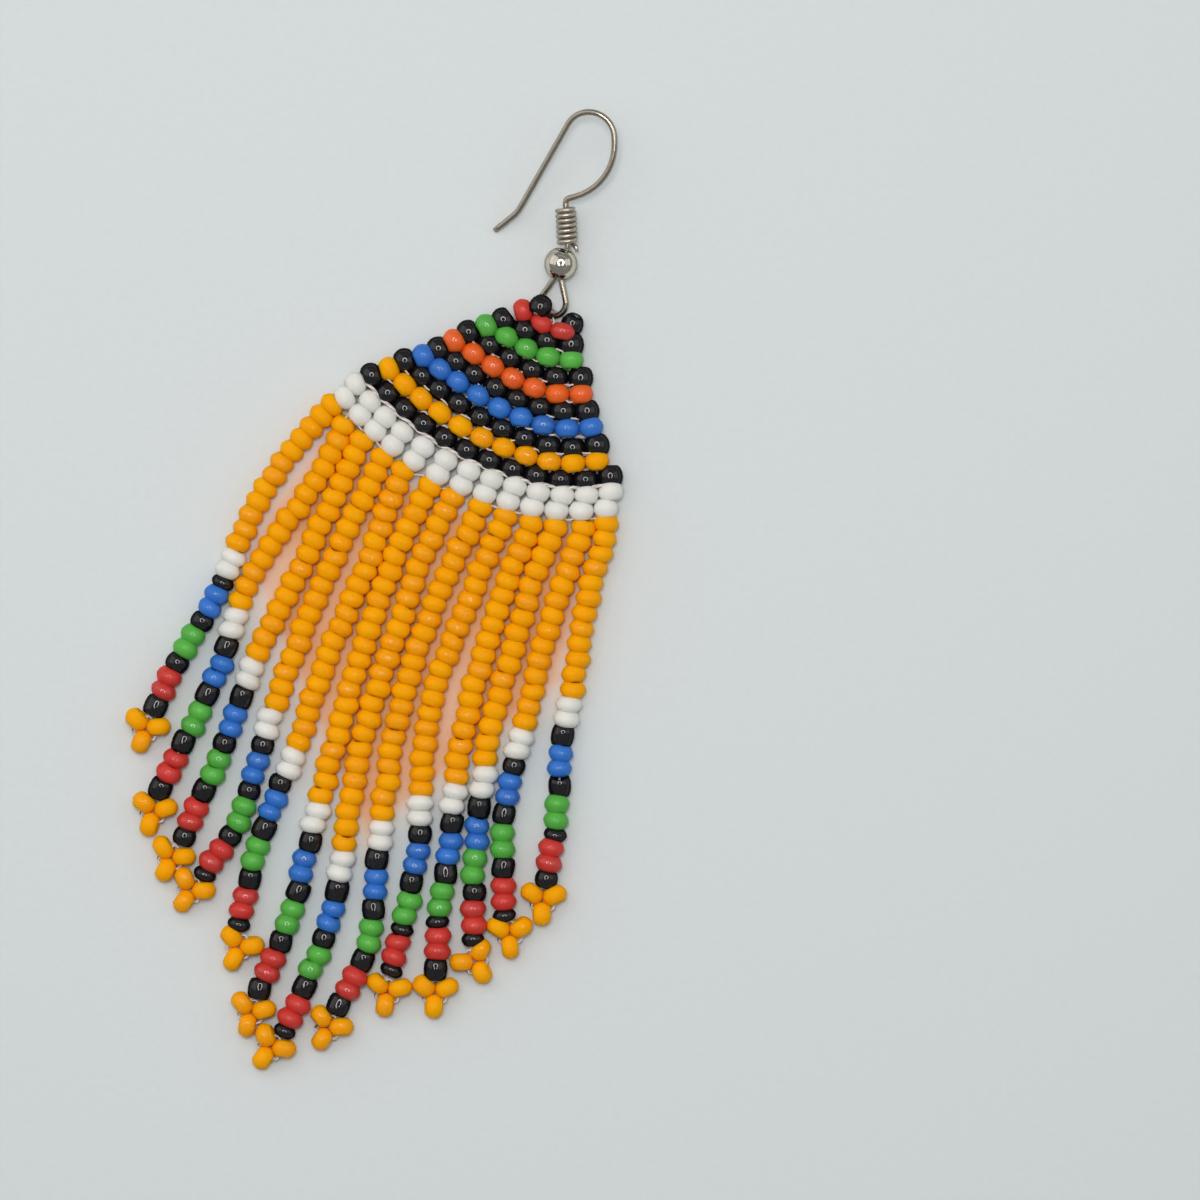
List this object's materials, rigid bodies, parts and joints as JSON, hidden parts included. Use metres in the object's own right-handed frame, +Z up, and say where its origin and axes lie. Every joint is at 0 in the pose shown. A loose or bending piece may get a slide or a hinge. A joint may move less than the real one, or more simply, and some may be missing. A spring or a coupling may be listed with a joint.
{
  "type": "beaded earring",
  "caption": "Drop earring lying flat: a fish-hook ear wire with a coil and a ball, a woven fan of seed beads, and a long fringe of strung beads with picot tips.",
  "frame": {"origin": "under the middle of the outline, on the surface that the earring lies on", "axes": "+Z up out of the surface, +Y towards the top of the ear hook, so that the fringe runs towards -Y; the front of the earring faces +Z"},
  "size_m": [0.0452, 0.087, 0.0051],
  "materials": {
    "hook_wire": "bright nickel-plated wire, slightly warm",
    "coil_wire": "nickel-plated fine wire, dark between its turns",
    "ball_metal": "polished nickel-plated metal",
    "fan_beads": "opaque glossy glass, mostly black, with rows of red, green, vermilion, blue, yellow-orange and white",
    "thread": "white twisted beading thread",
    "fringe_beads": "opaque satin glass, yellow-orange, with a band of white, blue, green, red and glossy black near the tip"
  },
  "bodies": {
    "root": {"ear_hook": "hook_wire", "hook_coil": "coil_wire", "hook_ball": "ball_metal", "yoke": "fan_beads", "hanger_stitch": "thread", "strand_01": "fringe_beads", "strand_02": "fringe_beads", "strand_03": "fringe_beads", "strand_04": "fringe_beads", "strand_05": "fringe_beads", "strand_06": "fringe_beads", "strand_07": "fringe_beads", "strand_08": "fringe_beads", "strand_09": "fringe_beads", "strand_10": "fringe_beads", "strand_11": "fringe_beads", "strand_12": "fringe_beads", "strand_13": "fringe_beads"}
  },
  "joints": []
}
